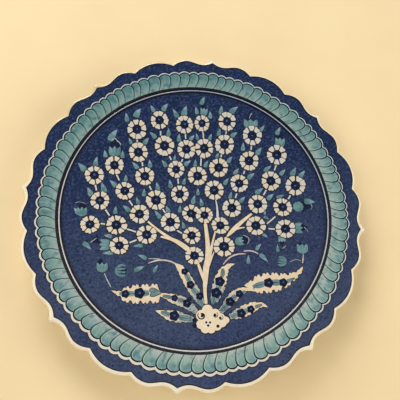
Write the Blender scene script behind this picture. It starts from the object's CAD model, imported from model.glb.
"""Looks, camera and light for the painted wall plate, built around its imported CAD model.

The face of the plate is part of a sphere, so every painted motif is drawn flat, as an outline in
millimetres seen from above (x to the right, y the way the tree grows), and then laid on that sphere
as a thin closed solid with rounded shoulders.
"""
import math
import random

import bpy
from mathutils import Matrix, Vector
from mathutils.geometry import tessellate_polygon


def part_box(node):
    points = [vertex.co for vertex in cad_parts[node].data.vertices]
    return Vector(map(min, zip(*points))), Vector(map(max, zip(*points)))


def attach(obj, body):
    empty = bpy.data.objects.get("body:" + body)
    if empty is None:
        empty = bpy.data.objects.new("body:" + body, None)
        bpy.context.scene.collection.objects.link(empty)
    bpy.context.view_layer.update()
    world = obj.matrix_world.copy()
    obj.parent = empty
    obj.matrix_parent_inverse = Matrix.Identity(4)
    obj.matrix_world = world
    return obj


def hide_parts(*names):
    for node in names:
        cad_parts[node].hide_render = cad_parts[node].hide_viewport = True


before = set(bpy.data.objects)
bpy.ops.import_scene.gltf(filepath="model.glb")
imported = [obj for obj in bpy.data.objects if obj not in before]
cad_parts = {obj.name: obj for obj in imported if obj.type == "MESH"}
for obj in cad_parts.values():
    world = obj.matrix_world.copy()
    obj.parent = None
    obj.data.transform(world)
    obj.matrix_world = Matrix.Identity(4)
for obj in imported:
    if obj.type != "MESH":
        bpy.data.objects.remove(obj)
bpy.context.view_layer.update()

MM = 0.001
TAU = 2 * math.pi
rng = random.Random(11)


# ---- sizes, in mm ----
def box_mm(node):
    """Lowest and highest corner of a CAD node, in mm."""
    low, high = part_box(node)
    return low / MM, high / MM


AIR = 0.04  # the CAD model keeps this much air between a layer and what it covers
RIM_R = 150.0  # over the tips of the lobed edge
DISH_R = 900.0  # of the sphere that the face is part of
LIP_T = 5.0  # thickness of the clay at the lip
LIP_W = 2.0  # bare clay outside the paint
TIP_BARE = 2.2  # more bare clay at each tip, where the paint is blunter than the clay
TIP_DEG = 37.7  # direction of the first tip
FLOOR_Z = box_mm("well_ground")[0].z - AIR
RING_R = (box_mm("white_ring")[1].x + box_mm("inner_line")[1].x) / 2 + AIR
BLACK_OUT = box_mm("black_ring")[1].x
FOOT_R = 86.0  # outside of the foot ring
FOOT_W = 8.0
FOOT_H = 6.5
PETALS = 88
PETAL_AT = 129.6  # radius on which the petals' round ends are centred
PETAL_SPAN = (0.1205, 0.1335)  # radii, in metres, between which a petal goes from its tail to its end


def face_z(r):
    """Height of the fired face at radius r."""
    return FLOOR_Z + DISH_R - math.sqrt(DISH_R**2 - r**2)


# heights of the paint above the face, lowest first
GROUND_TOP = 0.04
INK_TOP = 0.08
RING_TOP = 0.12
LEAF_TOP = 0.13
PETAL_TOP = 0.20
CREAM_TOP = 0.22
DETAIL_TOP = 0.28
SUNK = -0.25  # the solids reach this far into the clay, so that no gap shows under them
SOFT = ((0.0, 0.7), (0.3, 1.0))  # shoulders of a rounded pad: inset, share of its height


# ---- the lobed edge ----
# how far each feature lies inside the tips
MIDDLE_DROP, SIDE_DROP, NOTCH_DROP, HOLLOW_DROP = 1.2, 1.8, 5.8, 5.2


def edge_drop(u, blunt):
    """How far the edge lies inside the tips, u degrees from the middle of a repeat."""
    if u < 7.5:
        return MIDDLE_DROP + (NOTCH_DROP - MIDDLE_DROP) * (u / 7.5) ** 2
    if u < 12.5:
        return SIDE_DROP + (NOTCH_DROP - SIDE_DROP) * ((12.5 - u) / 5) ** 2
    if u < 18.75:
        swing = (1 + math.cos(math.pi * (u - 12.5) / 6.25)) / 2
        return HOLLOW_DROP + (SIDE_DROP - HOLLOW_DROP) * swing
    return HOLLOW_DROP + (blunt - HOLLOW_DROP) * ((u - 18.75) / 3.75) ** 2


def in_repeat(a):
    """Degrees from direction a, in radians, to the middle of the repeat that it falls in."""
    return abs((math.degrees(a) - TIP_DEG) % 45 - 22.5)


def clay_edge(a):
    """Radius of the clay's edge in direction a. The bare lip is widest at the lower left."""
    return RIM_R - edge_drop(in_repeat(a), 0) + 0.45 - 0.45 * math.sin(a + 0.5)


def paint_edge(a):
    """Radius where the paint ends."""
    return RIM_R - LIP_W - edge_drop(in_repeat(a), TIP_BARE)


def hand(a, size, seed):
    """A slow waver, as a line painted by hand on a turning wheel has."""
    waves = math.sin(3 * a + seed) + 0.6 * math.sin(7 * a + 2.3 * seed) + 0.4 * math.sin(17 * a + seed)
    return size * waves / 2


# ---- meshes ----
class Paint:
    """Collects closed solids that lie on the face, and becomes one object."""

    def __init__(self):
        self.verts = []
        self.faces = []

    def ring(self, points, height):
        """Adds points (x, y) at a height above the face, or a height for each, and returns their numbers."""
        first = len(self.verts)
        for i, (x, y) in enumerate(points):
            h = height[i] if isinstance(height, list) else height
            self.verts.append((x * MM, y * MM, (face_z(math.hypot(x, y)) + h) * MM))
        return list(range(first, len(self.verts)))

    def wall(self, low, high):
        """Joins two rings of as many points."""
        n = len(low)
        for i in range(n):
            j = (i + 1) % n
            self.faces.append((low[i], low[j], high[j], high[i]))

    def cap(self, ring, up):
        """Closes a ring, whatever its outline."""
        outline = [Vector((self.verts[i][0], self.verts[i][1], 0)) for i in ring]
        for a, b, c in tessellate_polygon([outline]):
            u, v, w = outline[a], outline[b], outline[c]
            turn = (v.x - u.x) * (w.y - u.y) - (v.y - u.y) * (w.x - u.x)
            tri = (ring[a], ring[b], ring[c])
            self.faces.append(tri if (turn > 0) == up else tri[::-1])

    def pad(self, outline, top, base=GROUND_TOP, shoulders=((0.0, 0.3), (0.12, 0.8), (0.3, 1.0)), lean=None,
            foot=SUNK):
        """A closed solid over an anticlockwise outline, from the layer below it, base, to its top.
        shoulders are (inset, share of that height) pairs."""
        def heights(share):
            return [base + share * (top + (lean(p) if lean else 0) - base) for p in outline]
        below = self.ring(outline, foot)
        self.cap(below, up=False)
        for inset, share in shoulders:
            ring = self.ring(shrink(outline, inset), heights(share))
            self.wall(below, ring)
            below = ring
        self.cap(below, up=True)

    def dome(self, outline, centre, top, rings=5, foot=SUNK):
        """Like pad, for a large outline that is seen whole from its centre: the cap follows the face."""
        def loop(share, height):
            return self.ring([(centre[0] + (x - centre[0]) * share, centre[1] + (y - centre[1]) * share)
                              for x, y in outline], height)
        loops = [loop(i / rings, foot) for i in range(1, rings + 1)]
        loops += [loop(1, 0.5 * top), loop(0.975, 0.85 * top)]
        loops += [loop(0.94 - 0.94 * i / rings, top) for i in range(rings)]
        for low, high in zip(loops, loops[1:]):
            self.wall(low, high)
        self.fan(loops[0], foot, up=False, centre=centre)
        self.fan(loops[-1], top, up=True, centre=centre)

    def stroke(self, path, widths, top, base=GROUND_TOP, foot=-0.2):
        """A brush stroke along a path, rounded across, with pointed or blunt ends as widths say."""
        section = ((1, 0.0), (0.8, 0.6), (0.4, 0.92), (0, 1.0), (-0.4, 0.92), (-0.8, 0.6), (-1, 0.0))
        rings = []
        for i, (x, y) in enumerate(path):
            dx, dy, _ = heading(path, i)
            half = max(widths[i], 0.06) / 2
            across = [(x - dy * half * s, y + dx * half * s) for s, _ in section]
            rise = (top - base) * min(1, widths[i] / 0.5)
            over = self.ring(across, [base + h * rise for _, h in section])
            under = self.ring([across[-1], across[0]], foot)
            rings.append(over + under)
        self.tube(rings)

    def tube(self, rings):
        """Joins the rings in turn and closes both ends. Each ring runs clockwise, seen from its start."""
        for a, b in zip(rings, rings[1:]):
            self.wall(a, b)
        self.faces.append(tuple(reversed(rings[0])))
        self.faces.append(tuple(rings[-1]))

    def band(self, inner, outer, top, steps=1, per_turn=720, bevel=0.18, foot=SUNK):
        """A closed ring between two radii, each a function of direction."""
        def loop(share, inset, height):
            def radius(a):
                return (inner(a) + inset) * (1 - share) + (outer(a) - inset) * share
            return self.ring(polar((radius(a), a) for a in turns(per_turn)), height)
        loops = [loop(1, 0, foot), loop(1, 0, 0.5 * top), loop(1, bevel, top)]
        loops += [loop(1 - i / steps, bevel, top) for i in range(1, steps)]
        loops += [loop(0, bevel, top), loop(0, 0, 0.5 * top), loop(0, 0, foot)]
        for low, high in zip(loops, loops[1:] + loops[:1]):
            self.wall(low, high)

    def disc(self, radius, top, rings=14, per_turn=256, foot=SUNK):
        """A closed disc round the centre of the face."""
        def loop(r, height):
            return self.ring(circle(0, 0, r, per_turn), height)
        radii = [radius * (1 - i / rings) for i in range(rings)]
        loops = [loop(r, foot) for r in reversed(radii)]
        loops += [loop(radius, 0.5 * top)] + [loop(r - 0.2, top) for r in radii]
        for low, high in zip(loops, loops[1:]):
            self.wall(low, high)
        self.fan(loops[0], foot, up=False)
        self.fan(loops[-1], top, up=True)

    def fan(self, loop, height, up, centre=(0, 0)):
        (middle,) = self.ring([centre], height)
        for i in range(len(loop)):
            pair = (loop[i], loop[(i + 1) % len(loop)])
            self.faces.append((*(pair if up else pair[::-1]), middle))

    def make(self, name, material, *nodes, body="plate", slot=None):
        """The finished object. It stands for the CAD nodes named."""
        mesh = bpy.data.meshes.new(name)
        mesh.from_pydata(self.verts, [], self.faces)
        mesh.validate()
        mesh.update()
        mesh.shade_smooth()
        mesh.materials.append(material)
        piece = bpy.data.objects.new(name, mesh)
        bpy.context.scene.collection.objects.link(piece)
        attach(piece, body)
        if nodes:
            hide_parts(*nodes)
        return piece


# ---- outlines ----
def heading(path, i):
    """The way a path runs at its point i, as a unit step, and how far apart the points next to it are."""
    ahead, behind = path[min(i + 1, len(path) - 1)], path[max(i - 1, 0)]
    dx, dy = ahead[0] - behind[0], ahead[1] - behind[1]
    apart = math.hypot(dx, dy) or 1.0
    return dx / apart, dy / apart, apart


def shrink(outline, inset):
    """The outline moved inwards, or outwards for a negative inset."""
    moved = []
    n = len(outline)
    for i, (x, y) in enumerate(outline):
        ax, ay = outline[i - 1]
        bx, by = outline[(i + 1) % n]
        dx, dy = bx - ax, by - ay
        long = math.hypot(dx, dy) or 1.0
        moved.append((x - dy / long * inset, y + dx / long * inset))
    return moved


def on_curve(a, b, c, d, t):
    """A number t of the way from b to c, on the curve through a, b, c and d."""
    return 0.5 * (2 * b + (c - a) * t + (2 * a - 5 * b + 4 * c - d) * t**2
                  + (3 * b - a - 3 * c + d) * t**3)


def smooth(points, per=4, closed=True):
    """A curve through the points (Catmull-Rom)."""
    n = len(points)
    out = []
    for i in range(n if closed else n - 1):
        if closed:
            p = [points[(i + k) % n] for k in (-1, 0, 1, 2)]
        else:
            p = [points[min(max(i + k, 0), n - 1)] for k in (-1, 0, 1, 2)]
        out += [tuple(on_curve(*numbers, k / per) for numbers in zip(*p)) for k in range(per)]
    if not closed:
        out.append(tuple(points[-1]))
    return out


def bend(p0, p1, p2, steps=12):
    """Points along the curve from p0 that bends towards p1 and ends at p2."""
    ts = [i / steps for i in range(steps + 1)]
    return [tuple((1 - t) ** 2 * a + 2 * t * (1 - t) * b + t**2 * c for a, b, c in zip(p0, p1, p2))
            for t in ts]


def beside(path, gaps):
    """The path moved to its left by a gap at each point."""
    moved = []
    for i, (x, y) in enumerate(path):
        dx, dy, _ = heading(path, i)
        moved.append((x - dy * gaps[i], y + dx * gaps[i]))
    return moved


def taper(w0, w1, steps=12, tip=False):
    """Widths along a stroke, drawn in to a point at its end if tip is set."""
    ts = [i / steps for i in range(steps + 1)]
    return [(w0 + (w1 - w0) * t) * (math.sqrt(max(0.0, 1 - t**4)) if tip else 1) for t in ts]


def turns(n):
    """n directions, in radians, once round."""
    return [TAU * i / n for i in range(n)]


def polar(pairs, x=0.0, y=0.0, tall=1.0):
    """Points from (radius, direction) pairs round a centre, stretched upwards if tall is over 1."""
    return [(x + r * math.cos(a), y + r * tall * math.sin(a)) for r, a in pairs]


def circle(x, y, r, n=24, tall=1.0):
    return polar(((r, a) for a in turns(n)), x, y, tall)


def flower(x, y, r, lobes=5, depth=0.09, n=30):
    """A small flower with round lobes."""
    return polar(((r * (1 + depth * math.cos(lobes * a)), a) for a in turns(n)), x, y)


def placed(points, x, y, degrees):
    """Points turned by an angle and moved to (x, y)."""
    c, s = math.cos(math.radians(degrees)), math.sin(math.radians(degrees))
    return [(x + c * u - s * v, y + s * u + c * v) for u, v in points]


def anticlockwise(points):
    """The outline, turned round if it runs clockwise."""
    area = sum(a[0] * b[1] - b[0] * a[1] for a, b in zip(points, points[1:] + points[:1]))
    return points if area > 0 else points[::-1]


def motif(shape, x, y, direction, long, wide):
    """A smooth outline from points in units of the motif's length and width."""
    return anticlockwise(smooth(placed([(u * long, v * wide) for u, v in shape], x, y, direction), 3))


# ---- materials ----
LIGHT = (1.0, 0.90, 0.74)  # colour of the room's light


def linear(r, g, b):
    """The paint that looks like this colour, 0 to 255, in the room's light."""
    def one(v, light):
        v /= 255
        v = v / 12.92 if v <= 0.04045 else ((v + 0.055) / 1.055) ** 2.4
        return min(0.92, v / light)
    return (one(r, LIGHT[0]), one(g, LIGHT[1]), one(b, LIGHT[2]), 1.0)


class Nodes:
    """A material under construction: a short way to add nodes and links."""

    def __init__(self, name):
        self.material = bpy.data.materials.new(name)
        self.material.use_nodes = True
        self.tree = self.material.node_tree
        self.shader = self.tree.nodes["Principled BSDF"]
        self.place = self.add("ShaderNodeTexCoord").outputs["Object"]

    def add(self, kind, **settings):
        node = self.tree.nodes.new(kind)
        for key, value in settings.items():
            setattr(node, key, value)
        return node

    def feed(self, socket, value):
        """Gives a socket another node's output, a number or a colour."""
        if isinstance(value, bpy.types.NodeSocket):
            self.tree.links.new(value, socket)
        else:
            socket.default_value = value

    def calc(self, kind, operation, *values):
        """The outputs of a math node, whose kind is "" or "Vector", for these values."""
        node = self.add(f"ShaderNode{kind}Math", operation=operation)
        for socket, value in zip(node.inputs, values):
            self.feed(socket, value)
        return node.outputs

    def noise(self, size_mm, detail=3.0, stretch=(1, 1, 1), roughness=0.5):
        """Noise whose lumps are about size_mm across."""
        mapping = self.add("ShaderNodeMapping")
        mapping.inputs["Scale"].default_value = stretch
        self.feed(mapping.inputs["Vector"], self.place)
        noise = self.add("ShaderNodeTexNoise")
        noise.inputs["Scale"].default_value = 1 / (size_mm * MM)
        noise.inputs["Detail"].default_value = detail
        noise.inputs["Roughness"].default_value = roughness
        self.feed(noise.inputs["Vector"], mapping.outputs["Vector"])
        return noise.outputs["Fac"]

    def ramp(self, value, *stops):
        """A colour ramp; stops are (position, colour) pairs."""
        ramp = self.add("ShaderNodeValToRGB")
        while len(ramp.color_ramp.elements) < len(stops):
            ramp.color_ramp.elements.new(0.5)
        for element, (position, colour) in zip(ramp.color_ramp.elements, stops):
            element.position = position
            element.color = colour
        self.feed(ramp.inputs["Fac"], value)
        return ramp.outputs["Color"]

    def spread(self, value, low, high, to_low=0.0, to_high=1.0):
        """value, from low..high to to_low..to_high, clamped."""
        node = self.add("ShaderNodeMapRange")
        for socket, number in zip(node.inputs, (value, low, high, to_low, to_high)):
            self.feed(socket, number)
        return node.outputs["Result"]

    def mix(self, factor, a, b, blend="MIX"):
        """Colour a, turned into b by a factor from 0 to 1."""
        node = self.add("ShaderNodeMix", data_type="RGBA", blend_type=blend)
        for socket, value in ((0, factor), (6, a), (7, b)):  # the sockets for colours
            self.feed(node.inputs[socket], value)
        return node.outputs[2]

    def along(self, x, y, z=0):
        """Distance from the middle in a direction, in metres."""
        return self.calc("Vector", "DOT_PRODUCT", self.place, (x, y, z))["Value"]

    def round_the_rim(self):
        """Coordinates that run round the petal border and across it, in metres."""
        parts = self.add("ShaderNodeSeparateXYZ")
        self.feed(parts.inputs["Vector"], self.place)
        turn = self.calc("", "ARCTAN2", parts.outputs["Y"], parts.outputs["X"])["Value"]
        joined = self.add("ShaderNodeCombineXYZ")
        self.feed(joined.inputs["X"], self.calc("", "MULTIPLY", turn, PETAL_AT * MM)["Value"])
        self.feed(joined.inputs["Y"], self.radius())
        return joined.outputs["Vector"]

    def radius(self, x_mm=0, y_mm=0):
        """Distance from an upright line, the plate's own axis if no other is given, in metres."""
        flat = self.calc("Vector", "MULTIPLY", self.place, (1, 1, 0))["Vector"]
        return self.calc("Vector", "DISTANCE", flat, (x_mm * MM, y_mm * MM, 0))["Value"]

    def finish(self, colour, rough=(0.14, 0.24), bump=0.05, bump_mm=0.8, coat=0.3, specular=0.35):
        """Colour, patchy roughness and a fine bump, under a clear coat."""
        node = self.add("ShaderNodeBump")
        node.inputs["Strength"].default_value = bump
        node.inputs["Distance"].default_value = 0.3 * MM
        self.feed(node.inputs["Height"], self.noise(bump_mm, 5))
        looks = {"Base Color": colour, "Roughness": self.spread(self.noise(9, 4), 0.3, 0.7, *rough),
                 "Normal": node.outputs["Normal"], "Coat Weight": coat, "Coat Roughness": 0.06,
                 "Specular IOR Level": specular}
        for socket, value in looks.items():
            self.feed(self.shader.inputs[socket], value)
        return self.material


def shaded(colour, factor):
    """A colour made darker or lighter."""
    return (*[c * factor for c in colour[:3]], 1)


def cobalt(name, top, bottom, dark_from, dark_to):
    """Cobalt wash: deep and blue high on the plate, thinner and greyer low on it, mottled, and darker
    towards one radius."""
    n = Nodes(name)
    wash = n.mix(n.spread(n.along(0.1, -1), -0.05, 0.085), top, bottom)
    cloudy = n.mix(n.spread(n.noise(26, 4), 0.35, 0.7, 0, 0.35), wash, shaded(top, 0.6))
    bluer = n.mix(n.spread(n.noise(38, 2), 0.52, 0.75, 0, 0.4), cloudy, linear(30, 42, 92))
    mottled = n.mix(n.spread(n.noise(2.0, 3), 0.48, 0.70, 0, 0.6), bluer, shaded(bottom, 1.5))
    pitted = n.mix(n.spread(n.noise(1.7, 3), 0.50, 0.70, 0, 0.75), mottled, shaded(top, 0.45))
    edged = n.mix(n.spread(n.radius(), dark_from, dark_to, 0, 0.6), pitted, shaded(top, 0.35))
    return n.finish(edged, bump=0.08)


def black_ink():
    """Black line, thinner and greyer low on the plate."""
    n = Nodes("ink")
    fall = n.spread(n.along(0.1, -1), -0.08, 0.1)
    thick = n.mix(fall, linear(8, 9, 14), linear(26, 27, 32))
    thin = n.mix(fall, linear(26, 26, 34), linear(56, 54, 60))
    line = n.mix(n.spread(n.noise(3, 4), 0.3, 0.75), thick, thin)
    return n.finish(line, rough=(0.3, 0.45), bump=0.06, coat=0.0, specular=0.2)


COOL = (0.86, 0.91, 0.99, 1)  # what the paler paints lose towards the upper right, where they are thin


def white_slip(name, pale, warm, shade, size_mm=6, cool=COOL):
    """Pale enamel: patches from pale to warm, greyer where it is thin and cooler to the upper right."""
    n = Nodes(name)
    patches = n.ramp(n.noise(size_mm, 3), (0.36, pale), (0.52, warm), (0.68, pale))
    thin = n.spread(n.noise(1.6, 4, roughness=0.65), 0.55, 0.85, 0, 0.55)
    mottled = n.mix(thin, patches, shade)
    veil = n.mix(n.spread(n.along(0.45, 0.89), -0.1, 0.1), (1, 1, 1, 1), cool)
    return n.finish(n.mix(1.0, mottled, veil, "MULTIPLY"), bump=0.1, bump_mm=1.2)


def leaf_cream():
    """The long leaves' cream, washed over with grey green and fine lines where they grow from the root."""
    n = Nodes("leaf_cream")
    patches = n.ramp(n.noise(6, 3), (0.32, linear(232, 219, 198)), (0.55, linear(228, 203, 168)),
                     (0.72, linear(230, 215, 192)))
    near = n.radius(8, -90)
    washed = n.mix(n.spread(near, 0.036, 0.016, 0, 0.85), patches, linear(146, 164, 168))
    hatching = n.mix(n.spread(n.noise(1.7, 3), 0.5, 0.62, 0, 0.8), washed, linear(62, 78, 96))
    return n.finish(n.mix(n.spread(near, 0.034, 0.018), washed, hatching), bump=0.1, bump_mm=1.2)


def petal_shade(n, colour):
    """The petals' greens are deeper at the upper left and paler at the lower right."""
    shade = n.mix(n.spread(n.along(0.37, -0.93), -0.13, 0.13), (0.70, 0.75, 0.86, 1), (1.38, 1.12, 1.20, 1))
    return n.mix(1.0, colour, shade, "MULTIPLY")


def petal_green():
    """Copper green that was flooded from the round end and thins to a milky tail at the ring, with the
    brush's streaks from end to end and bluer pools."""
    n = Nodes("petal_green")
    out = n.spread(n.radius(), *PETAL_SPAN)
    flood = n.ramp(out, (0.0, linear(162, 182, 172)), (0.35, linear(138, 168, 160)),
                   (0.7, linear(104, 147, 143)), (1.0, linear(92, 135, 133)))
    flat, n.place = n.place, n.round_the_rim()
    greener = n.mix(n.spread(n.noise(11, 2), 0.4, 0.6, 0, 0.5), flood, linear(118, 162, 140))
    pooled = n.mix(n.spread(n.noise(5.5, 2), 0.5, 0.68, 0, 0.75), greener, linear(62, 112, 120))
    streaks = n.spread(n.noise(2.6, 3, stretch=(1.3, 0.3, 1)), 0.5, 0.75, 0, 0.6)
    brushed = n.mix(streaks, pooled, linear(166, 188, 174))
    n.place = flat
    return n.finish(petal_shade(n, brushed), bump=0.06)


def petal_pale():
    """The pale brush mark just inside each petal's line."""
    n = Nodes("petal_pale")
    body = n.ramp(n.noise(3, 3), (0.35, linear(160, 187, 177)), (0.6, linear(136, 174, 167)))
    return n.finish(petal_shade(n, body), bump=0.06)


def petal_ink():
    """The petals' brush line: near black at the round end, thin and green towards the ring."""
    n = Nodes("petal_ink")
    out = n.spread(n.radius(), *PETAL_SPAN)
    line = n.ramp(out, (0.0, linear(72, 102, 92)), (0.45, linear(38, 68, 62)), (0.85, linear(10, 28, 32)))
    return n.finish(n.mix(n.spread(n.noise(3, 3), 0.5, 0.8, 0, 0.5), line, linear(14, 26, 30)), bump=0.05)


def leaf_green(name, deep, mid, pale):
    n = Nodes(name)
    body = n.ramp(n.noise(5, 3), (0.3, deep), (0.55, mid), (0.8, pale))
    streaks = n.spread(n.noise(1.4, 4, stretch=(2.4, 0.7, 1)), 0.5, 0.8, 0, 0.5)
    return n.finish(n.mix(streaks, body, deep), bump=0.06)


def brushed_blue(name, size_mm, detail, dark, light, bump):
    """Blue in one brush load, patchy from dark to light; dark and light are (share, colour) stops."""
    n = Nodes(name)
    return n.finish(n.ramp(n.noise(size_mm, detail), dark, light), bump=bump)


def clay_body():
    """Clear glaze on white slip that is thin at the upper left, bare clay under the foot, a few pinholes."""
    n = Nodes("glazed_body")
    thick = n.ramp(n.noise(30, 4), (0.3, linear(248, 237, 212)), (0.7, linear(242, 227, 198)))
    worn = n.ramp(n.noise(22, 4), (0.3, linear(226, 206, 166)), (0.7, linear(214, 192, 150)))
    slip = n.mix(n.spread(n.along(-0.6, 0.8, 0), 0.115, 0.14), thick, worn)
    pooled = n.mix(n.spread(n.noise(7, 4), 0.55, 0.8, 0, 0.35), slip, linear(226, 216, 190))
    holes = n.spread(n.noise(2.4, 2, roughness=0.8), 0.74, 0.8, 0, 0.8)
    pitted = n.mix(holes, pooled, linear(120, 96, 74))
    bare = n.ramp(n.noise(1.2, 5), (0.3, linear(196, 160, 128)), (0.7, linear(222, 192, 160)))
    foot = n.spread(n.along(0, 0, 1), 0.0016, 0.0009)
    return n.finish(n.mix(foot, pitted, bare), bump=0.07, bump_mm=2.0)


def steel_wire():
    n = Nodes("steel_wire")
    colour = n.ramp(n.noise(4, 4), (0.3, linear(150, 146, 140)), (0.6, linear(186, 184, 180)),
                    (0.85, linear(128, 108, 88)))
    n.finish(colour, rough=(0.28, 0.5), bump=0.15, bump_mm=0.5, coat=0.0, specular=0.5)
    n.shader.inputs["Metallic"].default_value = 0.9
    return n.material


INK = black_ink()
CREAM = white_slip("cream", linear(232, 219, 198), linear(228, 203, 168), linear(196, 180, 156),
                   cool=(1, 1, 1, 1))
ROOT_CREAM = white_slip("root_cream", linear(238, 224, 200), linear(236, 214, 180), linear(200, 184, 158))
BLOSSOM_CREAM = white_slip("blossom_cream", linear(220, 215, 214), linear(233, 209, 168),
                           linear(204, 194, 188), 4, (0.79, 0.865, 0.98, 1))
MILK = white_slip("milk", linear(218, 213, 206), linear(226, 214, 196), linear(184, 186, 194), 7,
                  (0.68, 0.85, 1.07, 1))
RING_WHITE = white_slip("ring_white", linear(207, 207, 211), linear(216, 213, 209), linear(176, 180, 188), 9,
                        (0.56, 0.70, 1.0, 1))
THIN_MILK = white_slip("thin_milk", linear(150, 160, 172), linear(186, 190, 190), linear(104, 118, 138), 5)
ROSY_MILK = white_slip("rosy_milk", linear(214, 200, 190), linear(200, 184, 178), linear(164, 164, 168), 8)
LEAF_CREAM = leaf_cream()
PETAL_GREEN = petal_green()
PETAL_INK = petal_ink()
PETAL_PALE = petal_pale()
FILL_GREEN = leaf_green("fill_green", linear(86, 116, 124), linear(118, 146, 150), linear(156, 174, 170))
LEAF_GREEN = leaf_green("leaf_green", linear(76, 112, 118), linear(102, 140, 142), linear(122, 154, 162))
LEAF_TIP = leaf_green("leaf_tip", linear(104, 134, 152), linear(130, 156, 174), linear(154, 174, 188))
HEART = brushed_blue("dark_heart", 3.2, 3, (0.35, linear(15, 20, 34)), (0.7, linear(22, 38, 76)), 0.05)
NIGHT = leaf_green("night_ink", linear(18, 24, 42), linear(22, 32, 58), linear(30, 42, 74))
EYE = brushed_blue("eye_blue", 1.0, 2, (0.3, linear(44, 58, 92)), (0.7, linear(92, 108, 142)), 0.04)
WELL_BLUE = cobalt("well_blue", linear(22, 42, 80), linear(65, 77, 106), 0.1125, 0.1165)
RIM_BLUE = cobalt("rim_blue", linear(24, 43, 80), linear(65, 76, 105), 0.138, 0.131)


# ---- the fired body ----
def outline_loop(mesh_points, radius, height, per_turn):
    """Adds one closed loop at radius(a) and height(a), and returns its numbers."""
    first = len(mesh_points)
    for a in turns(per_turn):
        r = radius(a)
        mesh_points.append((r * math.cos(a) * MM, r * math.sin(a) * MM, height(a) * MM))
    return list(range(first, len(mesh_points)))


def make_body():
    """The plate itself: dished face, rounded lobed lip, back, foot ring and its two pierced holes."""
    per_turn = 576
    round_r = 108  # the face is round this far out, and beyond it follows the lobed edge more and more
    body = Paint()
    half = LIP_T / 2

    def lip(degrees):
        """A loop on the half-round lip, from 90 at the face to -90 at the back."""
        c, s = math.cos(math.radians(degrees)), math.sin(math.radians(degrees))
        return (lambda a: clay_edge(a) - half + half * c,
                lambda a: face_z(clay_edge(a)) - half + half * s)

    def between(share):
        """A loop between the round middle of the face and the lip."""
        def radius(a):
            return round_r + (clay_edge(a) - half - round_r) * share
        return radius, lambda a: face_z(radius(a))

    def round_loop(r, z):
        return lambda a: r, lambda a: z

    def back(share):
        """A loop on the back, between the foot ring and the lip. The back is a little hollow."""
        def radius(a):
            return FOOT_R + 1.5 + (clay_edge(a) - half - FOOT_R - 1.5) * share

        def height(a):
            low, high = FOOT_H + 2, face_z(clay_edge(a)) - LIP_T
            return low + (high - low) * share - 1.2 * math.sin(math.pi * share)
        return radius, height
    foot_in = FOOT_R - FOOT_W
    loops = [round_loop(r, face_z(r)) for r in (6, 18, 34, 50, 66, 80, 94, round_r)]
    loops += [between(share) for share in (0.25, 0.5, 0.7, 0.86, 1.0)]
    loops += [lip(d) for d in (60, 30, 0, -30, -60, -90)]
    loops += [back(share) for share in (0.9, 0.75, 0.6, 0.45, 0.3, 0.15, 0.05, 0.0)]
    loops += [round_loop(r, z) for r, z in (
        (FOOT_R + 0.5, FOOT_H + 0.6), (FOOT_R, FOOT_H - 1), (FOOT_R - 0.1, 4.5), (FOOT_R - 0.3, 2.4),
        (FOOT_R - 0.7, 0.9), (FOOT_R - 1.5, 0.2), (FOOT_R - 2.6, 0.0), (foot_in + 2.4, 0.0),
        (foot_in + 1.3, 0.2), (foot_in + 0.6, 0.9), (foot_in + 0.2, 2.4), (foot_in, 4.5),
        (foot_in - 0.4, FOOT_H - 0.9), (foot_in - 1.4, FOOT_H - 0.2), (foot_in - 3, FOOT_H),
        (60, FOOT_H + 0.1), (40, FOOT_H), (20, FOOT_H + 0.1), (6, FOOT_H))]
    rings = [outline_loop(body.verts, radius, height, per_turn) for radius, height in loops]
    for inner, outer in zip(rings, rings[1:]):
        body.wall(outer, inner)
    top = len(body.verts)
    body.verts.append((0, 0, face_z(0) * MM))
    body.verts.append((0, 0, FOOT_H * MM))
    for i in range(per_turn):
        j = (i + 1) % per_turn
        body.faces.append((rings[0][i], rings[0][j], top))
        body.faces.append((rings[-1][j], rings[-1][i], top + 1))
    return body.make("fired_body", clay_body(), "plate_body", slot="white_body")


def pierce(body):
    """Cuts the two wire holes through the foot ring, on one line, as in the CAD model."""
    low, high = box_mm("hanger_wire")
    pivot = Vector((0, low.y + 1.8, (low.z + high.z) / 2))
    for side in (-1, 1):
        bpy.ops.mesh.primitive_cylinder_add(vertices=32, radius=1.1 * MM, depth=30 * MM,
                                            location=(side * 54 * MM, pivot.y * MM, pivot.z * MM),
                                            rotation=(0, math.pi / 2, 0))
        drill = bpy.context.object
        cut = body.modifiers.new("hole", "BOOLEAN")
        cut.operation = "DIFFERENCE"
        cut.solver = "EXACT"
        cut.object = drill
        bpy.context.view_layer.objects.active = body
        bpy.ops.object.modifier_apply(modifier=cut.name)
        bpy.data.objects.remove(drill)
    return pivot


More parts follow.
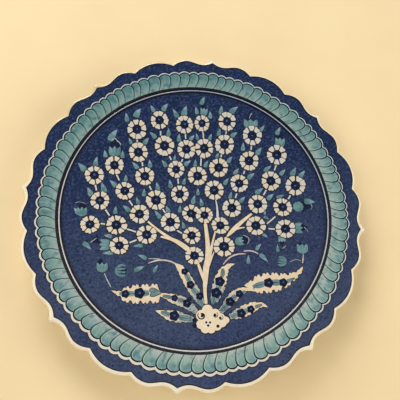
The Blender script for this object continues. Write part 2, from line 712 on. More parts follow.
def make_wire(pivot):
    """The bail: one bent wire with a kink for the nail, its ends turned over inside the foot ring."""
    low, high = box_mm("hanger_wire")
    radius = (high.z - low.z) / 2 - 0.8
    pin_x = high.x - radius
    head_x = math.sqrt((FOOT_R - FOOT_W) ** 2 - pivot.y**2) - 5
    top_y = high.y - radius
    half = [(head_x, pivot.y), (head_x + 6, pivot.y), (pin_x - 4, pivot.y), (pin_x - 0.8, pivot.y + 0.4),
            (pin_x - 0.4, pivot.y + 3), (pin_x - 6, pivot.y + 15), (pin_x - 11, pivot.y + 27.5),
            (pin_x - 13.5, pivot.y + 30.6), (pin_x - 20, pivot.y + 31.4), (26, top_y - 9.8),
            (10, top_y - 8.2), (6, top_y - 7.4), (3, top_y - 3.6)]
    path = smooth(half + [(0.0, top_y)] + [(-x, y) for x, y in reversed(half)], 6, closed=False)
    wire = Paint()
    sides = 12
    rings = []
    for i, (x, y) in enumerate(path):
        dx, dy, _ = heading(path, i)
        across = Vector((-dy, dx, 0))
        first = len(wire.verts)
        swell = 1.7 if i in (0, len(path) - 1) else 1.0
        for a in turns(sides):
            spoke = across * math.cos(a) + Vector((0, 0, math.sin(a)))
            point = Vector((x, y, pivot.z)) + spoke * radius * swell
            wire.verts.append(tuple(point * MM))
        rings.append(list(range(first, first + sides)))
    wire.tube(rings)
    return wire.make("wire_bail", steel_wire(), "hanger_wire", body="bail", slot="wire")


# ---- grounds and rings ----
def ring_at(a):
    """Middle of the white ring, which lies a little off the plate's own centre and isn't quite round."""
    return RING_R - 0.45 + 0.5 * math.cos(a + 0.9) + 0.12 * math.sin(2 * a)


def black_edge(a):
    """Outer edge of the black ring, over the petals' tails."""
    return BLACK_OUT - 0.58 + 0.22 * math.cos(a) + 0.14 * math.sin(2 * a) + hand(a, 0.1, 3)


def ring_half(a):
    """Half the width of the white ring, which runs thin at the top."""
    return 0.51 - 0.14 * math.sin(a) + 0.04 * math.cos(a)


def make_ring(name, material, nodes, slot, inner, outer, top, **how):
    """One ring of paint between two radii, each a function of direction."""
    ring = Paint()
    ring.band(inner, outer, top, **how)
    ring.make(name, material, *nodes, slot=slot)


def make_grounds():
    """The cobalt of the well and of the rim, and the rings that part them."""
    well = Paint()
    well.disc(RING_R - 1.6, GROUND_TOP)
    well.make("well_wash", WELL_BLUE, "well_ground", slot="cobalt")
    make_ring("rim_wash", RIM_BLUE, ["cobalt_border"], "cobalt_rim",
              lambda a: BLACK_OUT - 0.6, lambda a: paint_edge(a) - 0.4, GROUND_TOP, steps=6, per_turn=1152)
    make_ring("edge_brush_line", INK, ["edge_line"], "black",
              lambda a: paint_edge(a) - 1.0 + hand(a, 0.25, 2), lambda a: paint_edge(a) + hand(a, 0.15, 5),
              RING_TOP, per_turn=1152, bevel=0.3)
    make_ring("white_ring_line", RING_WHITE, ["white_ring"], "white_line",
              lambda a: ring_at(a) - ring_half(a) + hand(a, 0.06, 1), lambda a: ring_at(a) + ring_half(a),
              RING_TOP + 0.08, bevel=0.1)
    make_ring("black_ring_line", INK, ["black_ring"], "black",
              lambda a: ring_at(a) + 0.3, black_edge, PETAL_TOP + 0.08, bevel=0.3)
    make_ring("inner_ring_line", INK, ["inner_line"], "black",
              lambda a: ring_at(a) - 2.3 + hand(a, 0.12, 6), lambda a: ring_at(a) - 0.3, RING_TOP, bevel=0.3)


# ---- the petal border ----
def petal_row():
    """One petal after another round the rim: its direction, width, the radius of its round end's centre,
    the height of that end and how far its tail leans anticlockwise."""
    shares = [1 + 0.15 * max(-1.6, min(1.6, rng.gauss(0, 1))) for _ in range(PETALS)]
    total = sum(shares)
    turn = 0.0
    row = []
    for share in shares:
        angle = TAU * share / total
        middle = PETAL_AT - 0.1 + rng.uniform(-0.5, 0.5)
        height = 4.6 + 0.25 * rng.uniform(-1, 1)
        lean = rng.uniform(3.6, 5.4)
        row.append((turn + angle / 2, angle * PETAL_AT, middle, height, lean))
        turn += angle
    return row


def on_rim(direction, points):
    """Points given as their radius and their mm anticlockwise of a direction, where the petals sit."""
    return polar((r, direction + s / PETAL_AT) for r, s in points)


SPREAD = 0.7  # how far a petal's round end reaches over its neighbours


def petal_side(width, middle, lean, steps=8):
    """The clockwise side of a petal from its tail up to its round end, as (radius, offset) pairs."""
    tail = BLACK_OUT - 2
    ts = [i / steps for i in range(steps)]
    return [(tail + (middle - tail) * t, -width / 2 - SPREAD + lean * (1 - t) ** 1.8) for t in ts]


def round_end(width, middle, height, stop=90, steps=14):
    """The round end as (radius, offset) pairs, from its clockwise side over the top."""
    sweep = [math.radians(-90 + (stop + 90) * i / steps) for i in range(steps + 1)]
    return [(middle + height * math.cos(d), (width / 2 + SPREAD) * math.sin(d)) for d in sweep]


def line_widths(side, arc):
    """Widths of a petal's brush line: thin up its side, full round its end, drawn in to a point."""
    ts = [i / (len(arc) - 1) for i in range(len(arc))]
    rising = [0.7 + 0.35 * i / len(side) for i in range(len(side))]
    return rising + [(1.05 + 0.2 * math.sin(math.pi * t)) * math.sqrt(1 - t**6) for t in ts]


def milk_width(a):
    """Width of the pale scallops at their middles: thin at the right, wide at the lower left."""
    return 2.06 - 0.5 * math.cos(a - 1.14) - 0.29 * math.cos(2 * a + 0.59)


def scallops(row, extra):
    """Radius, in each direction, of the line that lies extra mm outside the pale scallops."""
    def radius(a):
        best = PETAL_AT + 2
        grow = milk_width(a) + extra
        for direction, width, middle, height, _ in row:
            s = ((a - direction + math.pi) % TAU - math.pi) * PETAL_AT
            wide = width / 2 + SPREAD + grow
            if abs(s) < wide:
                u = (s / wide) ** 2
                best = max(best, middle + (height + grow * (1 - 0.7 * u)) * math.sqrt(1 - u))
        return best
    return radius


def make_petals():
    """The overlapping green petals, the brush lines on them and the pale scallops outside them."""
    row = petal_row()
    green, outline, shine = (Paint() for _ in range(3))
    for direction, width, middle, height, lean in row:
        side = petal_side(width, middle, lean)
        cap = round_end(width, middle, height)
        far = [(r, s + width + 2 * SPREAD) for r, s in reversed(side)]
        trace = (side + cap + far)[::-1]
        shape = on_rim(direction, trace)
        across = {point: s / width + 0.5 for point, (_, s) in zip(shape, trace)}
        green.pad(shape, PETAL_TOP, lean=lambda p: -0.08 * across[p], shoulders=((0.0, 0.7), (0.25, 1.0)))
        arc = round_end(width, middle, height, stop=72)
        widths = line_widths(side, arc)
        outline.stroke(on_rim(direction, side + arc), widths, PETAL_TOP + 0.05, PETAL_TOP - 0.04)
        inside = [(r, s + 1.1) for r, s in side[1:]]
        inside += [(r - 1.1 * (s / width + 0.5), s + 1.1) for r, s in arc[:7]]
        glow = [0.8 * math.sin(math.pi * (i + 0.5) / len(inside)) for i in range(len(inside))]
        shine.stroke(on_rim(direction, inside), glow, PETAL_TOP + 0.02, PETAL_TOP - 0.04)
    green.make("petal_row", PETAL_GREEN, "rim_petals", slot="turquoise")
    outline.make("petal_brush_lines", PETAL_INK, "petal_outlines", slot="black")
    shine.make("petal_pale_strokes", PETAL_PALE, slot="turquoise")
    make_ring("scallop_row", MILK, ["scallop_band"], "white_line",
              lambda a: PETAL_AT + 1, scallops(row, 0), RING_TOP, per_turn=PETALS * 18, bevel=0.25)
    make_ring("scallop_shadow_line", INK, [], "black",
              lambda a: PETAL_AT + 1, scallops(row, 0.5), INK_TOP + 0.02, per_turn=PETALS * 18, bevel=0.15)


# ---- the tree ----
TRUNK = [  # along each branch: x, y, width
    ((7.0, -84, 2.6), (6.0, -70, 3.2), (6.8, -59, 4.6), (7.7, -50, 5.8), (9.4, -42, 5.4), (9.9, -32, 4.6),
     (9.2, -20, 3.8), (7.8, -6, 3.0)),
    ((6.7, -64, 2.4), (4.4, -56.5, 3.0), (2.2, -50, 2.8), (0.4, -44, 2.4)),
    ((10.2, -44, 1.6), (12.4, -35, 2.6), (14.2, -27, 2.0), (17, -17, 1.6)),
    ((26.5, -22.5, 0.8), (29.5, -19.5, 3.4), (34, -15, 4.4), (40, -9.5, 3.6), (50, -1.5, 2.2)),
    ((31, -18, 1.2), (36, -15.2, 2.0), (43, -14, 1.0)),
    ((-5, -35.5, 5.0), (-13, -29, 4.6), (-21, -24.5, 3.4), (-31, -22, 1.8)),
    ((-13, -28.5, 2.0), (-24, -22.5, 2.8), (-34, -15.5, 2.4), (-42, -8.5, 2.0)),
    ((8.6, -50, 3.0), (11.6, -43, 2.6), (15.2, -35.5, 0.6)),
]
YOUNG_STEM = ((18.2, 12, 1.0), (19.3, 4, 1.9), (19.4, -6, 2.8))
TENDRILS = [
    ((22.5, -47), (30, -36), (43.5, -38), 0.9, 1.8),
    ((41, -35.4), (49, -34), (54, -38.5), 1.2, 1.5),
    ((-18.5, -45.8), (-29, -39.5), (-42.5, -45.8), 1.5, 1.5),
    ((-31, -42.2), (-36, -41), (-42, -41.5), 1.3, 1.0),
    ((-77.5, -54), (-75, -60), (-71.5, -66), 0.7, 1.3),
    ((92.5, -39), (92, -43), (91, -47.5), 0.7, 1.5),
    ((80, -46), (86, -42), (90.4, -45.4), 0.5, 0.8),
    ((41, -21), (50, -23.5), (43.5, -30), 0.7, 0.6),
    ((103, 7), (105.5, 4), (103, 1), 0.6, 0.6),
    ((-75, 65.8), (-72, 70), (-69.6, 64.8), 0.9, 1.0),
    ((-70, 65.4), (-67, 64), (-66.6, 61), 1.0, 0.8),
    ((54.5, 95), (52.6, 93), (52, 89.5), 0.9, 0.7),
    ((-90, -28), (-88, -26), (-84.5, -23.5), 0.6, 0.8),
    ((95.5, -15), (98, -17), (99, -20), 0.5, 0.5),
    ((-104, 6.6), (-100, 9), (-94.5, 5.4), 0.5, 0.5),
    ((75, -33.5), (77, -33), (78.5, -30.8), 0.6, 0.8),
]
SPRIGS = [  # the short stalks between blossoms: one end, other end
    ((-31, 76.5), (-31, 72)), ((-8, 75), (-7.8, 69.5)), ((8, 77), (8.5, 70.5)), ((30, 77.5), (29.5, 75)),
    ((-47.5, 46.3), (-47, 42.5)), ((-23, 52.5), (-21.5, 49)), ((-11, 50), (-12.3, 47)),
    ((6, 51), (5.5, 43.5)), ((24.8, 55), (24.2, 52)), ((53, 62.8), (52.5, 59)), ((74.8, 44), (72.8, 39)),
    ((45.5, 39), (44.5, 36)), ((-70, 33.5), (-67.5, 28.5)), ((-88, 23.5), (-86.8, 18.5)),
    ((-40.8, 24), (-39.2, 20.5)), ((-15.5, 31.5), (-15, 26.5)), ((64.5, 20.5), (61.6, 15.5)),
    ((37.6, 17.5), (36, 13.2)), ((85.8, 15), (83.5, 11.5)), ((-58.5, 10), (-55.5, 5.5)),
    ((-78.5, 1.5), (-75, -4)), ((-29, 3), (-27, -0.5)), ((-82.2, -11), (-78.6, -11.5)),
    ((-60, -15.5), (-52, -18)), ((-57.5, -27.5), (-51.5, -25)), ((-16.5, -16.5), (-12.5, -19)),
    ((63, -11), (71, -4.5)), ((64, -15.5), (69.5, -16)), ((-52, 67.5), (-52, 63.5)),
]
BLOSSOMS = [  # centre x, centre y, radius; a later one covers an earlier one that it meets
    (-52.5, 77.5, 8.9), (-32, 87, 8.4), (-9, 83.5, 8.3), (7.5, 85, 7.4), (31, 87, 8.6), (54, 73, 9.1),
    (76, 54, 9.4), (-51, 55.5, 8.9), (-27.5, 62.5, 9.2), (-7.5, 59.5, 8.5), (9, 60.5, 8.9),
    (28, 64.5, 9.2), (50, 48.5, 9.1), (91, 24, 9.4), (-89, 32.5, 8.5), (-72, 42.5, 8.3), (-45, 33, 8.6),
    (-17, 40, 7.8), (2.5, 34, 9), (22, 42, 8.9), (40, 27, 8.4), (69, 29, 9), (-83.5, 9.5, 8.4),
    (-62.5, 19, 8.4), (-35, 11, 9.4), (-14, 17, 8.3), (17, 20.5, 9.1), (32.5, 4, 8.7), (56, 7.5, 8.8),
    (78, 4, 8.7), (-91, -12, 8.3), (-69, -12, 9.2), (-49.5, -2, 8.7), (-22.5, -9, 9), (-4.3, -1, 8.2),
    (7.8, -2.5, 7.8), (21.5, -12, 8), (53, -12.5, 9.2), (79, -16, 9), (-66, -30, 8.2), (-43, -20.5, 8.9),
    (-4, -21, 8), (-2, -39, 8.5), (24, -31, 9.5),
]
LEAVES = [  # foot x, foot y, direction, length
    (-54, 89, 68, 9.5), (-61.5, 84.5, 93, 8), (-37, 95, 112, 7), (-29, 96.5, 62, 8),
    (-15.5, 90.5, 112, 8.5), (-9.5, 92, 82, 10), (3, 94, 95, 7), (15, 90, 82, 6.5), (25.5, 94, 90, 8),
    (34.5, 95.5, 48, 9), (62, 77.5, 60, 6.5), (77, 73.5, 70, 8), (-57.5, 63, 105, 6), (-46, 63.5, 62, 7),
    (-35.5, 69.5, 125, 7.5), (-24, 71.5, 82, 8), (-14, 67, 95, 7), (-4, 68.5, 55, 6), (3, 69, 95, 6),
    (14, 69, 75, 6), (22.5, 73, 80, 7), (34.5, 72, 45, 7), (45, 58.5, 92, 7.5), (57.5, 54.5, 62, 8),
    (88.5, 33.5, 68, 8.5), (95.5, 31.5, 58, 8), (-97, 36, 125, 9), (-88.5, 40.5, 88, 9),
    (-80, 49.5, 92, 6.5), (-65, 49.5, 95, 7), (-51.5, 40, 122, 7.5), (-40.5, 41.5, 88, 7),
    (-26, 42.5, 115, 7), (-18.5, 48, 88, 5.5), (-9, 44, 48, 7), (0.5, 43, 92, 6.5), (9.5, 42.5, 75, 6.5),
    (30.5, 47, 62, 7), (20, 51.5, 70, 5), (36, 35.5, 60, 7), (48.5, 31.5, 48, 7.5), (64, 38, 48, 8),
    (78, 34.5, 52, 7), (-91, 13.5, 108, 8), (-80, 17, 100, 9), (-70, 22.5, 128, 8), (-62, 28, 82, 6),
    (-45.5, 14.5, 95, 6.5), (-33.5, 20, 92, 7.5), (-22, 22.5, 92, 7.5), (-10.5, 26, 82, 6),
    (2.5, 16, 95, 6), (26.5, 26, 62, 7), (31, 12.5, 80, 6.5), (40, 9, 55, 7), (55, 17, 45, 8),
    (65, 11.5, 48, 7.5), (73.5, 12.5, 30, 7), (-101, -3, 120, 6.5), (-70, -2, 95, 6.5),
    (-58, 0.5, 132, 7.5), (-50.5, 7, 100, 6.5), (-31.5, -5.5, 118, 8), (-24, -1, 100, 7), (-14, 0, 92, 6),
    (-2.5, 8, 80, 8), (5.5, 6, 92, 7), (60.5, -4.5, -20, 5), (58.5, -20.5, -28, 5),
    (-72.5, -22.5, 165, 6.5), (-71, -36.5, 180, 8.5), (-46.5, -30, 180, 7.5), (-10.5, -14.5, 98, 6),
    (98, 9, 0, 9), (-53, -52, 30, 9), (-37, -53, 65, 7), (-96, -28, -35, 9), (52, -34.5, 55, 7),
    (44.5, -46.5, 92, 7.5), (55, -38.5, -42, 9), (71, -36.5, 96, 6.5), (7, 103.5, 72, 8),
    (-76.5, 65.5, 66, 12), (-43, -41.5, 150, 8), (60.5, 3, -70, 6),
]
BUDS = [  # foot x, foot y, direction, length, width
    (-72, 50.5, 90, 9.5, 10.5), (53, 80.5, 88, 8.5, 13), (79, 61.5, 84, 9, 9), (9, 92.5, 84, 7.5, 7),
    (86.5, -15.5, 0, 7.5, 10), (75, -22.5, 270, 5.5, 6.5), (-73, -29.5, 180, 9.5, 9.5),
    (-98, -5, 92, 8, 8.5), (34, -27, 8, 7.5, 7.5), (-79.5, -53, 92, 8, 9), (92, -38.5, 88, 8.5, 9.5),
]
FANS = [  # half-open buds drawn in a few strokes: foot x, foot y, direction, length
    (-69, -51.5, 0, 8.5), (77.5, -45.5, 172, 7),
]
HOODS = [  # the dark shapes behind the buds: centre x, centre y, direction, length
    (-72, 63, 90, 10), (99, 4, 0, 9), (80, 73, 60, 8), (-98, 5, 95, 8), (9, 101.5, 90, 6),
    (43, -26, -10, 8), (52, 90, 90, 8), (96, -15, 0, 6), (-86, -26, 200, 7), (91, -31, 90, 6),
    (-62, -51, 0, 6), (75, -29.5, 270, 5), (-81, -44, 92, 6),
]


def tall(y):
    """The painter drew the upper blossoms taller than the lower ones."""
    return 1 + 0.0014 * y


def make_wood():
    """Trunk and branches in cream, tendrils and stalks in thinner milk, each on its ink."""
    wood, thin, rosy, stalks, ink = (Paint() for _ in range(5))
    for branch in (*TRUNK, YOUNG_STEM):
        spine = smooth(branch, 5, closed=False)
        path = [(x, y) for x, y, _ in spine]
        paint = stalks if branch is YOUNG_STEM else wood
        paint.stroke(path, [w for _, _, w in spine], CREAM_TOP - 0.04)
        ink.stroke(path, [w + 1.8 for _, _, w in spine], INK_TOP + 0.02)
    for p0, p1, p2, w0, w1 in TENDRILS:
        path = bend(p0, p1, p2)
        paint = rosy if max(w0, w1) > 1.3 else thin
        paint.stroke(path, taper(w0, w1, tip=True), PETAL_TOP)
        ink.stroke(path, [w + 0.8 for w in taper(w0, w1, tip=True)], INK_TOP)
    for p0, p2 in SPRIGS:
        middle = ((p0[0] + p2[0]) / 2 + rng.uniform(-0.4, 0.4), (p0[1] + p2[1]) / 2)
        path = bend(p0, middle, p2, 6)
        stalks.stroke(path, [1.5] * 7, LEAF_TOP + 0.02)
        ink.stroke(path, [2.7] * 7, INK_TOP + 0.01)
    wood.make("trunk_and_branches", CREAM, "trunk", slot="cream")
    thin.make("tendril_lines", THIN_MILK, "tendrils", slot="white_line")
    rosy.make("tendril_stems", ROSY_MILK, slot="white_line")
    stalks.make("stalks", MILK, "sprigs", slot="white_line")
    ink.make("wood_ink", INK, slot="black")


def blossom_petal(r, squash, direction, wide, notch):
    """One petal in blossom units: narrow at the heart, full outside, a little notched at its end."""
    shape = ((0.50, -16), (0.72, -19), (0.90, -19.5), (0.99, -12), (notch, 0), (1.0, 12), (0.90, 19.5),
             (0.72, 19), (0.50, 16), (0.47, 0))
    return smooth(polar(((r * q, math.radians(direction + d * wide)) for q, d in shape), tall=squash), 3)


def make_blossoms():
    """Eight petals round a dark heart with a blue dot, each on its ink; covered petals are left out."""
    petals, hearts, eyes, ink, outer = (Paint() for _ in range(5))
    for i, (x, y, r) in enumerate(BLOSSOMS):
        squash = tall(y)
        start = rng.uniform(0, 45)
        hides = [b for b in BLOSSOMS[i + 1:] if math.hypot(b[0] - x, b[1] - y) < r + b[2] - 1]
        for k in range(8):
            direction = start + 45 * k + rng.uniform(-3.5, 3.5)
            size = r * rng.uniform(0.94, 1.02)
            wide = rng.uniform(0.92, 1.04)
            petal = blossom_petal(size, squash, direction, wide, rng.uniform(0.91, 0.99))
            shape = [(x + u, y + v) for u, v in petal]
            far = max(shape, key=lambda p: math.hypot(p[0] - x, p[1] - y))
            if any(math.hypot(far[0] - b[0], far[1] - b[1]) < b[2] for b in hides):
                continue
            petals.pad(shape, CREAM_TOP, LEAF_TOP, shoulders=((0.0, 0.6), (0.2, 0.9), (0.55, 1.0)))
            ink.pad(shrink(shape, -0.75), LEAF_TOP + 0.03)
        hearts.pad(circle(x, y, 0.53 * r, 28, squash), PETAL_TOP - 0.01, shoulders=SOFT)
        outer.pad(circle(x, y, 0.62 * r, 28, squash), LEAF_TOP + 0.04)
        eye = circle(x + rng.uniform(-0.4, 0.4), y + rng.uniform(-0.2, 0.6), rng.uniform(0.7, 1.15), 12)
        eyes.pad(eye, PETAL_TOP + 0.03, shoulders=((0.0, 0.8), (0.25, 1.0)))
    petals.make("blossom_petal_pads", BLOSSOM_CREAM, "blossom_petals", slot="cream")
    hearts.make("blossom_hearts", HEART, "blossom_centres", slot="dark_heart")
    eyes.make("blossom_eye_dots", EYE, "blossom_eyes", slot="eye_blue")
    ink.make("blossom_ink", INK, slot="black")
    outer.make("blossom_heart_ink", INK, slot="black")


def make_leaves():
    """Small leaves and tulip buds in thin green, each with a dark edge."""
    green, buds, tips, ink, dark = (Paint() for _ in range(5))
    leaf = ((0, -0.18), (0.2, -0.27), (0.45, -0.25), (0.75, -0.1), (1.04, 0.13), (1.0, 0.15), (0.75, 0.17),
            (0.5, 0.25), (0.2, 0.28), (0, 0.18))
    for x, y, direction, size in LEAVES:
        curl = rng.choice((-1, 1)) if 80 < direction < 100 else math.copysign(1, 90 - direction)
        wide = curl * rng.uniform(0.88, 1.08) * (0.78 if y < -25 else 1)
        shape = motif(leaf, x, y, direction, size, -size * wide)
        green.pad(shape, LEAF_TOP, INK_TOP, shoulders=SOFT)
        ink.pad(shrink(shape, -0.4), INK_TOP)
        tip = [(1.04 - 0.5 * (1.04 - u), 0.13 - 0.55 * (0.13 - v)) for u, v in leaf]
        tips.pad(motif(tip, x, y, direction, size, -size * wide), LEAF_TOP + 0.02, LEAF_TOP - 0.02)
    bud = ((0, -0.12), (0.15, -0.4), (0.5, -0.5), (1, -0.46), (0.8, -0.2), (1.04, 0), (0.8, 0.2), (1, 0.46),
           (0.5, 0.5), (0.15, 0.4), (0, 0.12))
    for x, y, direction, size, width in BUDS:
        shape = motif(bud, x, y, direction, size, width)
        buds.pad(shape, LEAF_TOP, INK_TOP, shoulders=SOFT)
        ink.pad(shrink(shape, -0.5), INK_TOP)
        for side in (-0.3, 0, 0.3):
            reach = side * width
            rib = placed([(0.4 * size, 0.7 * reach), (0.7 * size, reach), (0.95 * size, 1.2 * reach)],
                         x, y, direction)
            tips.stroke(bend(*rib, 6), taper(0.4, 1.2, 6, tip=True), LEAF_TOP + 0.04, LEAF_TOP)
    buds.pad(flower(92, 4.2, 4.6, 9, 0.05, 54), LEAF_TOP)
    for x, y, direction, size in FANS:
        for k in range(4):
            spread = (k - 1.5) * 0.34 * size
            path = placed([(0, 0.3 * spread), (0.5 * size, 1.3 * spread), (size, 0.9 * spread)],
                          x, y, direction)
            buds.stroke(bend(*path, 8), [0.9 + 1.1 * math.sin(math.pi * t / 8) for t in range(9)], LEAF_TOP)
    hood = ((-0.5, -0.62), (-0.1, -0.4), (0.5, 0), (-0.1, 0.4), (-0.5, 0.62), (-0.35, 0))
    for x, y, direction, size in HOODS:
        dark.pad(motif(hood, x, y, direction, size, size), INK_TOP - 0.01)
    green.make("small_leaf_strokes", LEAF_GREEN, "blossom_leaves", slot="leaf_green")
    buds.make("bud_strokes", LEAF_GREEN, "tulip_buds", slot="leaf_green")
    tips.make("leaf_tips", LEAF_TIP, slot="leaf_green")
    ink.make("leaf_ink", NIGHT, slot="dark_heart")
    dark.make("bud_hoods", NIGHT, slot="dark_heart")


# ---- long serrated leaves and the root ----
BLADES = [  # depth of the teeth, then along the leaf: x, y, width to the left, width to the right
    (2.4, ((-71.3, -68.2, 0.3, 0.3), (-66, -70.2, 1.8, 2.2), (-61, -71, 5.2, 6.0), (-54, -71, 7.2, 8.0),
           (-46, -70.8, 7.6, 8.2), (-38, -70.6, 7.8, 8.4), (-33.5, -70.4, 7.0, 7.8),
           (-31.6, -70.2, 3.0, 4.0))),
    (0.8, ((-33, -71.5, 1.0, 1.2), (-27, -73, 2.4, 2.4), (-20, -75.8, 4.4, 3.8), (-12, -79, 4.8, 3.8),
           (-5, -83.5, 3.4, 3.2), (-1, -88, 1.6, 1.6))),
    (1.0, ((-35.3, -84.8, 0.2, 0.3), (-30, -86.6, 2.2, 2.4), (-24.5, -88.6, 4.0, 4.2), (-18, -90, 4.8, 4.8),
           (-11, -91.4, 3.6, 3.6), (-4.5, -92.5, 2.2, 2.2))),
    (0.7, ((-18.8, -45.6, 0.5, 0.5), (-14.5, -50, 3.4, 2.8), (-10.5, -56.5, 4.6, 3.8), (-6, -64.5, 4.6, 4.4),
           (-1, -72.5, 4.4, 4.2), (3.4, -80.5, 2.6, 2.8))),
    (1.2, ((32.5, -46.5, 0.2, 0.3), (26.5, -48.6, 2.4, 2.4), (21.6, -54.5, 4.8, 4.4), (19.0, -61.5, 5.8, 5.4),
           (16.5, -69, 5.4, 5.0), (13.0, -78, 3.4, 3.2))),
    (2.4, ((91, -50, 0.3, 0.3), (87.5, -54.4, 2.2, 1.8), (82, -58.2, 3.6, 3.6), (74, -61.5, 6.4, 6.4),
           (66, -63, 8.0, 8.4), (58, -63.8, 8.4, 8.8), (50, -64.6, 7.2, 7.2), (44, -64.9, 3.4, 3.0),
           (39.6, -65.2, 0.3, 0.3))),
    (0.9, ((49, -70, 0.6, 0.6), (41.5, -68.4, 1.8, 1.6), (34, -71, 3.4, 3.4), (28, -76.5, 4.4, 4.4),
           (22.5, -82.5, 3.2, 3.2), (17.5, -87.5, 1.8, 1.8))),
    (1.2, ((58, -83.8, 0.2, 0.3), (53.5, -81.8, 1.9, 2.0), (47, -83, 3.8, 4.0), (40, -85.8, 4.8, 5.0),
           (33, -88.6, 4.4, 4.4), (26, -91, 2.2, 2.2))),
]
BLADE_FILLS = [  # the green between the rosettes: start, bend, end, width at the start, width at the end
    ((-65, -70.8), (-60, -71), (-53, -70.8), 1.8, 4.6),
    ((-53, -70.8), (-48, -70.6), (-40.6, -70.4), 4.6, 5.0),
    ((-29.5, -73), (-25, -73.6), (-22, -74.6), 1.4, 2.6),
    ((-17, -76), (-14, -76.6), (-12, -77.4), 2.8, 2.8),
    ((-31, -86.2), (-28, -87), (-24, -88.6), 2.0, 3.6),
    ((-16, -90.4), (-11, -91.6), (-5.5, -92.4), 3.6, 2.6),
    ((-10, -54.5), (-8, -58), (-6.6, -61.5), 3.0, 3.4), ((-4.6, -67), (-2, -70), (-0.4, -72), 3.6, 3.0),
    ((0.5, -75.5), (2, -78.4), (3.6, -82), 3.2, 2.4),
    ((21.8, -50.4), (22.4, -53.5), (21.0, -57.4), 1.8, 3.2),
    ((19.4, -64), (17.6, -66.4), (16.6, -68), 3.4, 3.6),
    ((14.2, -74.4), (13, -77), (12, -80.5), 4.0, 2.6),
    ((46.8, -66.6), (51, -65.4), (57, -64.0), 2.4, 5.4),
    ((62, -63.4), (67, -63.2), (71, -63.2), 4.6, 4.4),
    ((75.5, -62.8), (79, -61.8), (83, -59.8), 3.0, 0.8),
    ((41, -70.6), (39, -71), (36.6, -71.8), 1.4, 2.8), ((32, -73.6), (30, -75.4), (28.4, -77), 3.2, 3.4),
    ((25, -80.6), (22, -83), (18.8, -86.2), 3.6, 2.2),
    ((47.4, -83.6), (50, -82.6), (53.4, -81.6), 2.2, 0.8),
    ((41.6, -85.8), (39, -86.8), (37, -87.6), 3.2, 3.4),
    ((32.4, -89.2), (29.5, -90.2), (27, -91), 3.2, 2.0),
]
ROSETTES = [  # centre x, centre y, radius
    (-48.5, -70.5, 4.4), (-60, -71, 3.3), (-19.5, -74.8, 2.8), (-9.3, -79.2, 3.6), (-7, -75.6, 1.6),
    (-20, -89.3, 4.1), (-10.8, -52.6, 2.9), (-6, -64, 3.4), (1.4, -73.6, 3.2), (19, -61.4, 4.2),
    (15.5, -71, 4.4), (60.5, -63.4, 4.1), (73, -63.4, 3.6), (35, -72.2, 3.2), (26.8, -78.6, 3.8),
    (35.5, -88.3, 3.8), (43.8, -85.2, 3.2),
]
IVY = ((-40.2, -68.2), (-38.6, -66.6), (-36, -67), (-33.4, -68.6), (-31, -70.4), (-33.8, -72), (-37, -73.2),
       (-39.6, -72.6), (-38.6, -70.4))
CLOUD = [  # centre x, centre y, radius of each round of the root's cloud
    (8, -92, 8.6), (7.5, -85, 4.6), (2.2, -89.4, 4.6), (1.4, -96.6, 3.8), (5, -100.2, 3.8),
    (10, -100.6, 3.6), (15, -98, 4), (19.4, -95.6, 3.8), (22.8, -93.6, 2.9), (14, -88.2, 4.2),
    (18.4, -91.4, 3.6),
]
CURLS = [  # centre x, centre y, radius
    (2.9, -89.9, 1.2), (13.9, -89.4, 1.1), (18.2, -91.7, 0.9), (15.6, -98.3, 1.4), (6.1, -95.1, 1.0),
    (9.3, -95.2, 1.0), (7.6, -97.6, 1.1), (-3.6, -93.2, 1.7), (-3.4, -97.4, 1.8),
]
VOLUTES = [  # centre x, centre y, radius, where the brush began, how far it turned, in radians
    (2.6, -89.6, 2.8, 2.4, 6.0), (13.9, -89.3, 1.9, 1.0, -5.6), (18.3, -91.6, 1.7, 1.2, -5.6),
]


def tooth_gap(walked, depth, period=4.0):
    """Depth of the leaf's margin at a distance along it: deep round gaps with a smaller one between them."""
    count = round(walked / period)
    off = abs(walked - count * period)
    half, share = ((1.5, 1.0), (0.7, 0.5))[count % 2]
    return depth * share * math.sqrt(max(0.0, 1 - (off / half) ** 2))


def blade(paint, rows, teeth, grow, top):
    """A long leaf: one row of points across after another, with gaps between the teeth of its margin."""
    across = (1, 0.96, 0.85, 0.5, 0, -0.5, -0.85, -0.96, -1)
    rise = (0.4, 0.8, 1, 1, 1, 1, 1, 0.8, 0.4)
    rings = []
    walked = 0.0
    for i, (x, y, left, right) in enumerate(rows):
        dx, dy, apart = heading(rows, i)
        walked += apart / 2 if i else 0
        gap = tooth_gap(walked, teeth)
        halves = [max(0.15, w - gap * min(1, w / 5)) + grow for w in (left, right)]
        spots = [(s * halves[0] if s > 0 else s * halves[1]) for s in across]
        points = [(x - dy * s, y + dx * s) for s in spots]
        over = paint.ring(points, [h * top for h in rise])
        under = paint.ring([points[-1], points[0]], SUNK)
        rings.append(over + under)
    paint.tube(rings)


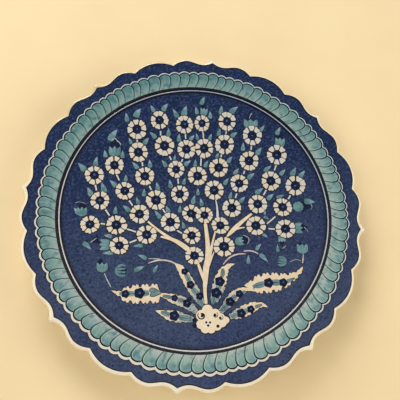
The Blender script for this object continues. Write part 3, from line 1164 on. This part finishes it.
def make_saz():
    """The long serrated leaves, the green painted along them and the dark rosettes on it."""
    blades, ink, lines, rosettes, green, dots = (Paint() for _ in range(6))
    for teeth, spine in BLADES:
        rows = smooth(spine, 14, closed=False)
        blade(blades, rows, teeth, 0, CREAM_TOP)
        blade(ink, rows, teeth, 0.65, INK_TOP + 0.02)
    for p0, p1, p2, w0, w1 in BLADE_FILLS:
        path = bend(p0, p1, p2, 12)
        full = [w * math.sin(math.pi * (0.06 + 0.88 * i / 12)) ** 0.45 for i, w in enumerate(taper(w0, w1))]
        lines.stroke(path, [w + 1.1 for w in full], CREAM_TOP + 0.03, CREAM_TOP)
        for side in (-0.32, 0.32):
            half = beside(path, [side * w for w in full])
            green.stroke(half, [0.56 * w for w in full], DETAIL_TOP, CREAM_TOP + 0.02)
    ivy = anticlockwise(smooth(IVY, 3))
    green.pad(ivy, DETAIL_TOP, CREAM_TOP + 0.02)
    lines.pad(shrink(ivy, -0.6), CREAM_TOP + 0.03, CREAM_TOP)
    for x, y, r in ROSETTES:
        rosettes.pad(flower(x, y, r), DETAIL_TOP + 0.05, CREAM_TOP)
        dots.pad(circle(x + 0.1, y + 0.2, 0.22 * r, 12), DETAIL_TOP + 0.08, DETAIL_TOP + 0.05)
    blades.make("long_leaves", LEAF_CREAM, "saz_leaves", slot="cream")
    ink.make("long_leaf_ink", INK, slot="black")
    lines.make("long_leaf_lines", INK, slot="black")
    rosettes.make("leaf_rosette_flowers", HEART, "leaf_rosettes", slot="dark_heart")
    green.make("leaf_infill_strokes", FILL_GREEN, "leaf_infill", slot="turquoise")
    dots.make("rosette_dots", EYE, slot="eye_blue")


def make_root():
    """The cream cloud that the tree grows from, with its dark dots and coils."""
    mound, ink, curls = (Paint() for _ in range(3))

    def cloud(grow):
        """The outline round all the cloud's circles, seen from the middle of the largest."""
        cx, cy, _ = CLOUD[0]
        points = []
        for a in turns(160):
            c, s = math.cos(a), math.sin(a)
            reach = 0.0
            for x, y, r in CLOUD:
                along = (x - cx) * c + (y - cy) * s
                off = (x - cx) * s - (y - cy) * c
                if abs(off) < r + grow:
                    reach = max(reach, along + math.sqrt((r + grow) ** 2 - off**2))
            points.append((cx + reach * c, cy + reach * s))
        return points
    mound.dome(cloud(0), CLOUD[0][:2], CREAM_TOP + 0.06)
    ink.dome(cloud(0.65), CLOUD[0][:2], CREAM_TOP + 0.01)
    for x, y, r in CURLS:
        curls.pad(circle(x, y, r, 20), DETAIL_TOP + 0.05, CREAM_TOP)
    for x, y, r, start, turn in VOLUTES:
        ts = [k / 24 for k in range(25)]
        path = polar(((r * (1.25 - 0.8 * t), start + turn * t) for t in ts), x, y)
        curls.stroke(path, [r * (0.3 + 0.4 * t) for t in ts], DETAIL_TOP + 0.05, CREAM_TOP)
    mound.make("root_cloud", ROOT_CREAM, "root_mound", slot="cream")
    ink.make("root_ink", INK, slot="black")
    curls.make("root_curl_marks", HEART, "root_curls", slot="dark_heart")


# ---- stage ----
def make_floor():
    """The plain wall that the plate lies on."""
    bpy.ops.mesh.primitive_plane_add(size=6, location=(0, 0, 0))
    floor = bpy.context.object
    floor.name = "floor"
    n = Nodes("floor_plaster")
    colour = n.ramp(n.noise(60, 3), (0.3, linear(246, 222, 176)), (0.7, linear(243, 218, 172)))
    n.feed(n.shader.inputs["Base Color"], colour)
    n.shader.inputs["Roughness"].default_value = 0.9
    n.shader.inputs["Specular IOR Level"].default_value = 0.1
    floor.data.materials.append(n.material)


def softbox(name, direction, distance, size, energy, colour):
    """A square light that faces the plate."""
    data = bpy.data.lights.new(name, "AREA")
    data.energy = energy
    data.size = size
    data.color = colour
    lamp = bpy.data.objects.new(name, data)
    lamp.location = Vector(direction).normalized() * distance
    lamp.rotation_euler = (-lamp.location).to_track_quat("-Z", "Y").to_euler()
    bpy.context.scene.collection.objects.link(lamp)


def make_light():
    """A window high above the plate and warmer light bounced from every side. The dished face mirrors
    one direction, a little above the camera, at every point, so nothing bright stands there."""
    warm = (1.0, 0.87, 0.66)
    softbox("window", (-0.24, 0.80, 0.50), 1.7, 0.8, 17.6, (1.0, 0.93, 0.80))
    softbox("room_left", (-0.7, 0.0, 0.7), 1.5, 1.0, 9.5, warm)
    softbox("bounce_right", (0.9, 0.0, 0.45), 1.5, 1.0, 10.5, warm)
    softbox("bounce_low", (0.1, -0.9, 0.38), 1.5, 1.0, 8.0, warm)
    world = bpy.data.worlds.new("studio")
    world.use_nodes = True
    world.node_tree.nodes["Background"].inputs["Color"].default_value = (*warm, 1)
    world.node_tree.nodes["Background"].inputs["Strength"].default_value = 0.15
    bpy.context.scene.world = world


def make_camera():
    """The photograph's view: 0.43 m away, on the root's side of the plate's axis."""
    ring_z = face_z(RING_R)
    data = bpy.data.cameras.new("camera")
    data.sensor_width = 36
    data.lens = 44.0
    camera = bpy.data.objects.new("camera", data)
    camera.location = (-37.8 * MM, -117.3 * MM, (407.7 + ring_z) * MM)
    camera.rotation_euler = [math.radians(d) for d in (17.29, -5.32, -1.43)]
    bpy.context.scene.collection.objects.link(camera)
    bpy.context.scene.camera = camera


make_camera()
make_light()
make_floor()
fired_body = make_body()
make_wire(pierce(fired_body))
make_grounds()
make_petals()
make_wood()
make_blossoms()
make_leaves()
make_saz()
make_root()
bpy.context.scene.view_settings.view_transform = "Standard"
